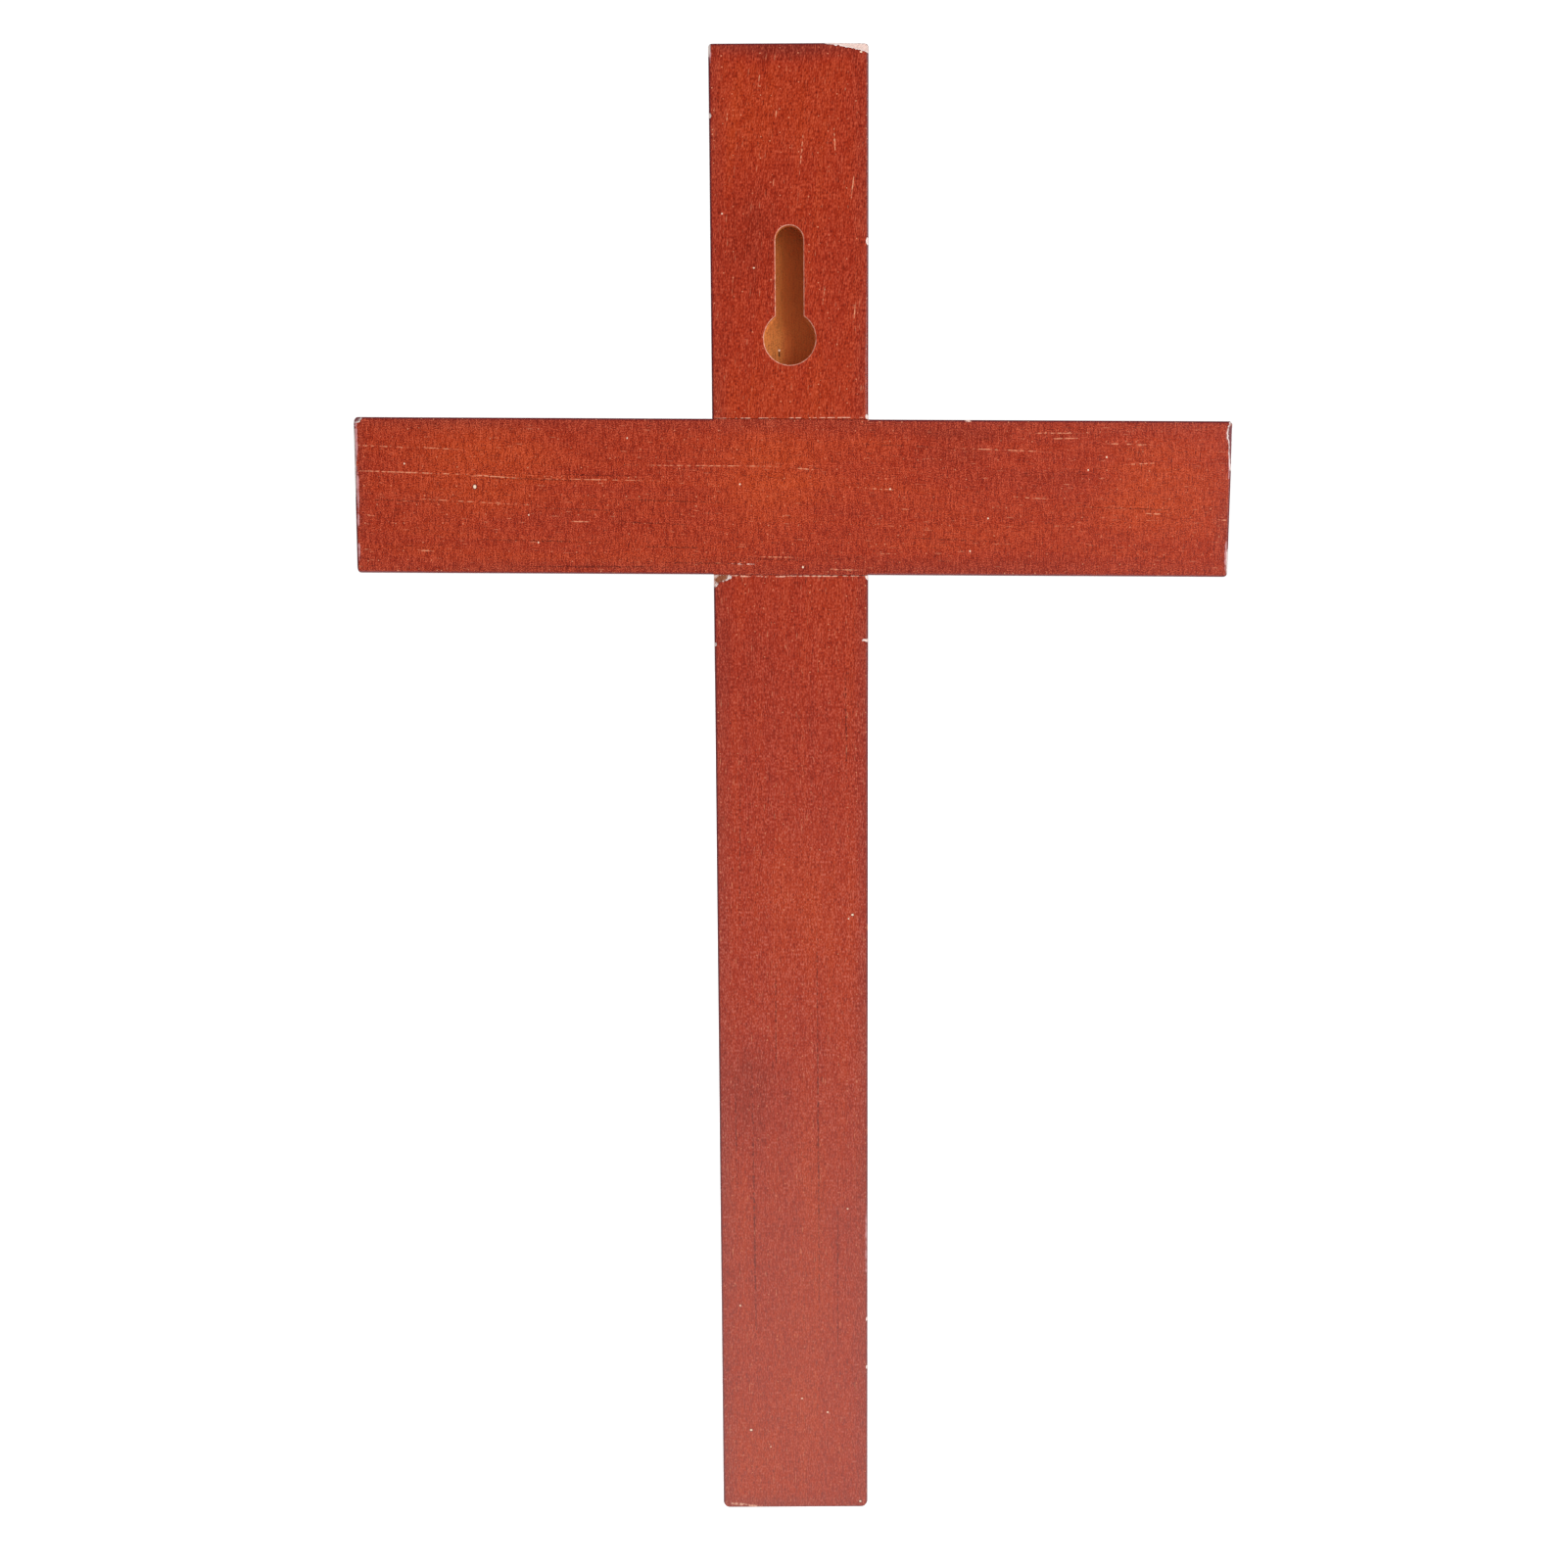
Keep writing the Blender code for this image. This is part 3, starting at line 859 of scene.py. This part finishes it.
    # Smaller ones are sprinkled on, in about half the cells of a flat pattern, by the lot each cell drew.
    flat_x = add_node(tree, "Math", TIMES_PLUS, {0: out, 1: 0.6, 2: across})
    flat_z = add_node(tree, "Math", TIMES_PLUS, {0: out, 1: 0.4, 2: along})
    flat = add_node(tree, "CombineXYZ", sockets={0: flat_x, 1: flat_z})
    cells = {"Vector": flat, "Scale": 1 / 1.6}
    cells = add_node(tree, "TexVoronoi", {"voronoi_dimensions": "2D"}, cells)
    lot = add_node(tree, "SeparateXYZ", sockets={0: cells.outputs["Color"]})
    size = add_node(tree, "Math", TIMES_PLUS, {0: lot, 1: 0.16, 2: -0.085})
    sprinkle = {0: cells.outputs["Distance"], 1: size}
    sprinkle = add_node(tree, "Math", {"operation": "LESS_THAN"}, sprinkle)

    dark = tuple(0.32 * channel for channel in finish.deep_stain[:3]) + (1.0,)
    paler = laid_over(tree, finish.rubbed_stain, [(linear("FFB4A6"), rise["paling"])])
    fresh = laid_over(tree, finish.bare_wood, [(linear(marks["deep_break"]), rise["deep"])])
    if "stained_chip" in marks:
        chip = marked(marks["stained_chip"], 0.9, deep=3.0)
        fresh = laid_over(tree, fresh, [(linear("9A5A3C"), chip)])
    layers = (
        # Spray built up in clouds towards the long edges and the ends.
        (finish.plum, band, cloudy),
        # Fibre ends and ridges are rubbed thin and the furrows between them hold stain.
        (paler, ridges),
        (finish.deep_stain, furrows),
        # Down the long arm the lacquer is thicker and a little dull.
        (linear("6A5A48"), rise["dulled"]),
        # Open pores hold dark stain. The dark line along the arrises is painted shade, where the edges turn
        # away from the light.
        (dark, rise["pores"]),
        (linear("641C24"), rise["arris"]),
        # Hairlines, scratches and short pores that the stain missed come and go along their length.
        (dark, marked(marks["hairlines"], 1.8), rise["broken_up"]),
        (finish.scratched_stain, thinned),
        # A rubbed arris is pink on its inner half and keeps a dark line outside.
        (linear("CF9698"), rise["worn"], rise["inner_half"]),
        (linear(marks["broken_skin"]), marked(marks["breaks"], 1.0), rise["unbroken"]),
        # Where wood broke off it is bare, in a dark line where the stain soaked in.
        (dark, rise["soaked"]),
        (fresh, rise["broken"]),
        (dark, marked(rings, 0.1), 0.6),
        (linear("FFE3C8"), marked(specks, 0.1)),
        (finish.scratched_stain, sprinkle, lively, 0.6),
    )
    colour = laid_over(tree, ramp, layers)

    # The lacquer is satin, and gone where the wood is bare.
    sockets = {"Value": pattern["fibres"], "From Min": 0.3, "From Max": 0.7, "To Min": 0.26, "To Max": 0.36}
    shine = add_node(tree, "MapRange", sockets=sockets)
    sockets = {"Factor": rise["broken"], "A": shine, "B": 0.8}
    rough = add_node(tree, "Mix", {"data_type": "FLOAT"}, sockets)
    height = add_node(tree, "Math", TIMES_PLUS, {0: rise["pores"], 1: -1.0, 2: fine})
    height = add_node(tree, "Math", TIMES_PLUS, {0: thinned, 1: -0.6, 2: height})
    sockets = {"Strength": 0.3, "Distance": 0.02 * MM, "Height": height}
    relief = add_node(tree, "Bump", sockets=sockets)
    lacquer = {"Roughness": rough, "Specular IOR Level": 0.28, "Normal": relief}
    end_in_shader(tree, {"Base Color": colour, **lacquer})
    return material


def routed_wood(finish):
    """Bare hardwood cut by a spinning keyhole bit, with a thin mist of stain over it.

    To the eye: dull golden brown, with faint crescents where the bit moved on, redder on one side of a
    grain line. The neck's floor is lightened along one side as painted light.
    """
    material, tree = new_material("routed_hardwood")
    place = add_node(tree, "TexCoord").outputs["Object"]
    local = add_node(tree, "Mapping", sockets={"Vector": place, "Scale": (1 / MM, 1 / MM, 1 / MM)})
    x, _, z = add_node(tree, "SeparateXYZ", sockets={0: local}).outputs
    fibres = add_node(tree, "Mapping", sockets={"Vector": local, "Scale": (4.0, 4.0, 0.4)})
    fibres = add_node(tree, "TexNoise", sockets={"Vector": fibres, "Scale": 1.0, "Detail": 3.0})
    grit = add_node(tree, "TexNoise", sockets={"Vector": local, "Scale": 3.4, "Detail": 2.0})
    # Crescents of the bit's radius: the distance down the slot plus the height of a circle over x.
    crescent_pitch, curve = 0.45, 0.12
    square = add_node(tree, "Math", {"operation": "POWER"}, {0: x, 1: 2.0})
    dip = add_node(tree, "Math", TIMES_PLUS, {0: square, 1: curve, 2: z})
    turns = add_node(tree, "Math", TIMES, {0: dip, 1: 2 * math.pi / crescent_pitch})
    crescents = add_node(tree, "Math", {"operation": "SINE"}, {0: turns})
    tone = add_node(tree, "Math", TIMES_PLUS, {0: crescents, 1: 0.03, 2: fibres})
    tone = add_node(tree, "Math", TIMES_PLUS, {0: grit, 1: 0.8, 2: tone})
    ramp = add_node(tree, "ValToRGB", sockets={"Fac": tone})
    ramp.color_ramp.elements[0].position = 0.72
    ramp.color_ramp.elements[0].color = [0.5 * channel for channel in finish.routed_wood[:3]] + [1.0]
    ramp.color_ramp.elements[1].position = 1.15 / 1.2
    ramp.color_ramp.elements[1].color = finish.routed_wood
    # A white fleck of lacquer lies on the floor of the round hole, over a short crack.
    crack = distance_from(tree, local, (1.8, -6.5, -18.4), (0.13, 2.0, 0.5))
    fleck = distance_from(tree, local, (1.8, -6.5, -17.8), (0.2, 2.0, 0.2))
    # Painted light: the neck's floor is lightened towards pale orange along the side that faces the key
    # light.
    amounts = []
    for value, start, end, least, most in (
        (x, 1.9, 0.4, 0.08, 0.7),
        (z, -18.0, -11.0, 0.0, 0.42),
        (x, -1.2, 1.8, 0.0, 1.0),
        (crack, 1.2, 0.7, 0.0, 0.9),
        (fleck, 1.2, 0.7, 0.0, 0.9),
    ):
        sockets = {"Value": value, "From Min": start, "From Max": end, "To Min": least, "To Max": most}
        amounts.append(add_node(tree, "MapRange", SMOOTH, sockets))
    redder, neck_light, lit_side, cracked, flecked = amounts
    layers = (
        (linear("C45E2C"), redder),
        # painted light along the neck's lit side
        (linear("FF9A4E"), neck_light, lit_side),
        (linear("3A1A0C"), cracked),
        (linear("FFE9D2"), flecked),
    )
    colour = laid_over(tree, ramp, layers)
    sockets = {"Strength": 0.5, "Distance": 0.06 * MM, "Height": tone}
    relief = add_node(tree, "Bump", sockets=sockets)
    raw = {"Roughness": 0.72, "Specular IOR Level": 0.2, "Normal": relief}
    end_in_shader(tree, {"Base Color": colour, **raw})
    return material


def torn_wood():
    """Raw wood at the keyhole's mouth and in the joint.

    To the eye: pale salmon, fuzzy with broken fibres.
    """
    material, tree = new_material("torn_hardwood")
    place = add_node(tree, "TexCoord").outputs["Object"]
    scale = (2.5 / MM, 2.5 / MM, 1.2 / MM)
    local = add_node(tree, "Mapping", sockets={"Vector": place, "Scale": scale})
    fuzz = add_node(tree, "TexNoise", sockets={"Vector": local, "Scale": 1.0, "Detail": 2.0})
    ramp = add_node(tree, "ValToRGB", sockets={"Fac": fuzz})
    ramp.color_ramp.elements[0].position = 0.3
    ramp.color_ramp.elements[0].color = linear("C4664C")
    ramp.color_ramp.elements[1].position = 0.62
    ramp.color_ramp.elements[1].color = linear("F0AC96")
    sockets = {"Strength": 0.5, "Distance": 0.08 * MM, "Height": fuzz}
    relief = add_node(tree, "Bump", sockets=sockets)
    end_in_shader(tree, {"Base Color": ramp, "Roughness": 0.8, "Normal": relief})
    return material


def upright_placing(sizes):
    """The upright's own frame in the row frame: the crossing's middle, on the back."""
    return Matrix.Translation((0, 0, sizes.crossing_height))


def crossbar_placing(sizes):
    """The crossbar's own frame: its z turned to run along +X and a little up, its x down."""
    return upright_placing(sizes) @ Matrix.Rotation(math.radians(90) - sizes.slant, 4, "Y")


def sanded(radius, rows, x, y, wander, seed):
    """An arris's radius along its rows. Sandpaper took a little more off here and less there."""
    places = np.stack((rows, 0 * rows + 7 * x, 0 * rows + 7 * y), axis=-1)
    return radius * (1 + 0.3 * ripple(places, wander, seed))


def crowded_by(knocks, ends, margin):
    """Where rows crowd for the knocks: the place, how far from it, and how closely."""
    return [(min(max(z, ends[0]), ends[1]), reach + margin, 0.16) for _, z, _, _, reach in knocks]


class WALLCROSS_OT_upright(bpy.types.Operator):
    """Build the upright strip, with its housing for the crossbar and the keyhole in its back"""

    bl_idname = "object.wall_cross_upright"
    bl_label = "Upright"

    def execute(self, context):
        sizes, finish = context.scene.wall_cross_sizes, context.scene.wall_cross_finish
        placing = upright_placing(sizes)
        half_width, thickness = sizes.upright_width / MM / 2, sizes.thickness / MM
        ends = (-sizes.upright_foot / MM, sizes.upright_top / MM)
        half_crossbar = sizes.crossbar_width / MM / 2
        marks = {
            "scratches": UPRIGHT_SCRATCHES,
            "hairlines": UPRIGHT_HAIRLINES,
            "breaks": UPRIGHT_BREAKS,
            "stained_chip": STAINED_CHIP,
            "broken_skin": "F2B59B",
            "deep_break": "E8CCC2",
            "paling": 1.0,
            "specks": UPRIGHT_SPECKS,
            "patches": UPRIGHT_PATCHES,
        }
        weave = {"grit": 1.6, "fibres": 0.8, "crossing_lines": 0.2}
        name = "mahogany_stained_upright"
        grit_length, seed = 0.45, 11.0
        wood = stained_hardwood(name, finish, half_width, ends, marks, grit_length, weave, seed)
        torn, routed = torn_wood(), routed_wood(finish)

        def arris_of(rows, x, y):
            """The arris radius along the rows, at the corner x, y of the section."""
            return sanded(sizes.arris / MM, rows, x, y, 38.0, 3)

        corners = (1.3, 0.6)
        crowded = crowded_by(UPRIGHT_KNOCKS, ends, 0.7)
        skin = strip_skin(half_width, thickness, ends, corners, arris_of, crowded)
        piece = new_piece("upright_strip", skin, placing, [wood])
        gap, lap = sizes.joint_gap / MM, sizes.lap_depth / MM
        reach, past = half_crossbar + gap, 20
        housing = block_skin((-reach, -lap - gap / 2, -past), (reach, 1, past))
        cut_away(piece, new_piece("housing_cutter", housing, crossbar_placing(sizes), [torn]))
        keyhole = keyhole_skin(sizes.slot_drop / MM, sizes.slot_depth / MM, sizes.slot_lip / MM)
        cutter = new_piece("keyhole_cutter", keyhole, Matrix.Identity(4), [torn, routed])
        middles = np.empty(3 * len(cutter.data.polygons), np.float32)
        cutter.data.polygons.foreach_get("center", middles)
        mouth_depth = 0.3 * MM
        below_mouth = middles[1::3] < -mouth_depth
        cutter.data.polygons.foreach_set("material_index", below_mouth.astype(np.int32))
        cut_away(piece, cutter)

        def lean(z):
            """The fibres stand straight in the lower arm and lean over by some 6 degrees above it."""
            slope, start, bend = math.tan(math.radians(6)), -5, 18
            return slope * bend * np.log1p(np.exp((z - start) / bend))

        def flush(points):
            """True on the front between the shoulders, where the crossbar's faces lie level with these."""
            return (np.abs(points[:, 2]) < half_crossbar) & (points[:, 1] < -thickness / 2)

        knocks, rubs = UPRIGHT_KNOCKS, UPRIGHT_RUBS
        finish_strip(piece, placing, half_width, thickness, ends, knocks, rubs, lean, flush)
        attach(piece, "root")
        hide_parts("upright")
        return {"FINISHED"}


class WALLCROSS_OT_crossbar(bpy.types.Operator):
    """Build the crossbar strip, housed on its front for the upright"""

    bl_idname = "object.wall_cross_crossbar"
    bl_label = "Crossbar"

    def execute(self, context):
        sizes, finish = context.scene.wall_cross_sizes, context.scene.wall_cross_finish
        placing = crossbar_placing(sizes)
        half_width, thickness = sizes.crossbar_width / MM / 2, sizes.thickness / MM
        ends = (-sizes.crossbar_low / MM, sizes.crossbar_high / MM)
        half_upright = sizes.upright_width / MM / 2
        marks = {
            "scratches": CROSSBAR_SCRATCHES,
            "hairlines": CROSSBAR_HAIRLINES,
            "breaks": CROSSBAR_BREAKS,
            "broken_skin": "FBD3C4",
            "deep_break": "7A4448",
            "paling": 0.0,
            "specks": CROSSBAR_SPECKS,
            "patches": CROSSBAR_PATCHES,
        }
        weave = {"grit": 2.7, "fibres": 0.1, "crossing_lines": 1.15}
        name = "mahogany_stained_crossbar"
        grit_length, seed = 0.2, 47.0
        wood = stained_hardwood(name, finish, half_width, ends, marks, grit_length, weave, seed)

        def arris_of(rows, x, y):
            """As on the upright, but left crisp on the back between the upright's shoulders."""
            crisp = np.clip((np.abs(rows) - half_upright) / 0.8 + 0.5, 0.25, 1) if y > 0 else 1.0
            return sanded(sizes.arris / MM, rows, x, y, 31.0, 4) * crisp

        corners = (0.7, 0.7)
        crowded = crowded_by(CROSSBAR_KNOCKS, ends, 0.9)
        crowded += [(-half_upright, 1.0, 0.3), (half_upright, 1.0, 0.3)]
        skin = strip_skin(half_width, thickness, ends, corners, arris_of, crowded)
        piece = new_piece("crossbar_strip", skin, placing, [wood])
        gap, lap = sizes.joint_gap / MM, sizes.lap_depth / MM
        reach, past = half_upright + gap, 20
        housing = block_skin((-reach, -thickness - 1, -past), (reach, -lap + gap / 2, past))
        cut_away(piece, new_piece("lap_cutter", housing, upright_placing(sizes), [torn_wood()]))

        def lean(z):
            """The fibres dip by a degree along the low arm and by two and a half along the high one."""
            slope, more, start, bend = math.tan(math.radians(1)), math.tan(math.radians(1.5)), 15, 10
            return slope * z + more * bend * np.log1p(np.exp((z - start) / bend))

        def flush(points):
            """True between the upright's shoulders on the back."""
            return (np.abs(points[:, 2]) < half_upright) & (points[:, 1] > -thickness / 2)

        knocks, rubs = CROSSBAR_KNOCKS, CROSSBAR_RUBS
        finish_strip(piece, placing, half_width, thickness, ends, knocks, rubs, lean, flush)
        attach(piece, "root")
        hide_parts("crossbar")
        return {"FINISHED"}


class WALLCROSS_OT_stage(bpy.types.Operator):
    """Set the plain pale floor, the soft lights and the camera"""

    bl_idname = "scene.wall_cross_stage"
    bl_label = "Stage"

    def execute(self, context):
        stage = context.scene.wall_cross_stage
        white = (1.0, 1.0, 1.0, 1.0)
        # The lacquer mirrors the floor most brightly close under the cross, which hazes the foot.
        material, tree = new_material("matt_white_board")
        place = add_node(tree, "TexCoord").outputs["Object"]
        away = distance_from(tree, place, (0.0, 0.0, 0.0), (1.0, 1.0, 1.0))
        sockets = {"Value": away, "From Min": 0.5, "From Max": 0.24}
        near = add_node(tree, "MapRange", SMOOTH, sockets)
        rays = add_node(tree, "LightPath").outputs
        glow = rays["Is Camera Ray"]
        for ray, closer, anywhere in (("Is Glossy Ray", 2.6, 0.8), ("Is Diffuse Ray", -0.45, 0.45)):
            share = add_node(tree, "Math", TIMES_PLUS, {0: near, 1: closer, 2: anywhere})
            glow = add_node(tree, "Math", TIMES_PLUS, {0: share, 1: rays[ray], 2: glow})
        board = {"Base Color": stage.floor_colour, "Roughness": 0.9}
        end_in_shader(tree, {**board, "Emission Color": white, "Emission Strength": glow})
        reach, height = 2.0, stage.floor_height
        corners = [(reach * x, reach * y, height) for x, y in ((-1, -1), (1, -1), (1, 1), (-1, 1))]
        mesh = bpy.data.meshes.new("floor")
        mesh.from_pydata(corners, [], [(0, 1, 2, 3)])
        mesh.materials.append(material)
        floor = bpy.data.objects.new("floor", mesh)
        context.scene.collection.objects.link(floor)

        for name, power, size, place in (
            ("key_light", stage.key_power, 0.5, (-0.77, 0.90, 0.14)),
            ("fill_light", stage.fill_power, 1.2, (0.55, -1.25, 0.55)),
        ):
            lamp = bpy.data.lights.new(name, "AREA")
            lamp.energy, lamp.size = power, size
            light = bpy.data.objects.new(name, lamp)
            light.location = place
            aim = Vector((0, 0, -0.06)) - light.location
            light.rotation_euler = aim.to_track_quat("-Z", "Y").to_euler()
            context.scene.collection.objects.link(light)

        # The room lights the wood evenly, is hardly mirrored in the lacquer, and is seen as white.
        world = bpy.data.worlds.new("soft_room")
        world.use_nodes = True
        room = world.node_tree
        room.nodes.clear()
        even, dim, seen = (
            add_node(room, "Background", sockets={"Color": white, "Strength": strength})
            for strength in (stage.room_light, 0.05 * stage.room_light, 1.05)
        )
        rays = add_node(room, "LightPath").outputs
        lit = {0: rays["Is Glossy Ray"], 1: even, 2: dim}
        lit = {0: rays["Is Camera Ray"], 1: add_node(room, "MixShader", sockets=lit), 2: seen}
        lit = add_node(room, "MixShader", sockets=lit)
        add_node(room, "OutputWorld", sockets={"Surface": lit})
        context.scene.world = world
        context.scene.view_settings.view_transform = "Standard"

        # The photograph's view: from a little above, a hand's breadth more than the cross's height away.
        lens = bpy.data.cameras.new("camera")
        lens.sensor_width, lens.lens = 36.0, 44.97
        lens.clip_start, lens.clip_end = 0.01, 100.0
        place, dip, roll = (0.00140, 0.33997, -0.04350), 8.238, -0.3196
        turn = Matrix.Rotation(math.pi, 4, "Z") @ Matrix.Rotation(math.radians(90 - dip), 4, "X")
        turn = turn @ Matrix.Rotation(math.radians(roll), 4, "Z")
        camera = bpy.data.objects.new("camera", lens)
        camera.matrix_world = Matrix.Translation(place) @ turn
        context.scene.collection.objects.link(camera)
        context.scene.camera = camera
        return {"FINISHED"}


class VIEW3D_PT_wall_cross(bpy.types.Panel):
    bl_label = "Wall Cross"
    bl_space_type = "VIEW_3D"
    bl_region_type = "UI"
    bl_category = "Wall Cross"

    def draw(self, context):
        for heading, group in (
            ("Sizes", context.scene.wall_cross_sizes),
            ("Finish", context.scene.wall_cross_finish),
            ("Stage", context.scene.wall_cross_stage),
        ):
            box = self.layout.box()
            box.label(text=heading)
            for name in group.__annotations__:
                box.prop(group, name)
        for operator in OPERATORS:
            self.layout.operator(operator.bl_idname)


OPERATORS = (WALLCROSS_OT_upright, WALLCROSS_OT_crossbar, WALLCROSS_OT_stage)
CLASSES = (WallCrossSizes, WallCrossFinish, WallCrossStage, *OPERATORS, VIEW3D_PT_wall_cross)


def register():
    for item in CLASSES:
        bpy.utils.register_class(item)
    bpy.types.Scene.wall_cross_sizes = PointerProperty(type=WallCrossSizes)
    bpy.types.Scene.wall_cross_finish = PointerProperty(type=WallCrossFinish)
    bpy.types.Scene.wall_cross_stage = PointerProperty(type=WallCrossStage)


def unregister():
    del bpy.types.Scene.wall_cross_stage
    del bpy.types.Scene.wall_cross_finish
    del bpy.types.Scene.wall_cross_sizes
    for item in reversed(CLASSES):
        bpy.utils.unregister_class(item)


def main():
    """Builds every piece and the stage."""
    register()
    bpy.ops.object.wall_cross_upright()
    bpy.ops.object.wall_cross_crossbar()
    bpy.ops.scene.wall_cross_stage()


if __name__ == "__main__":
    main()
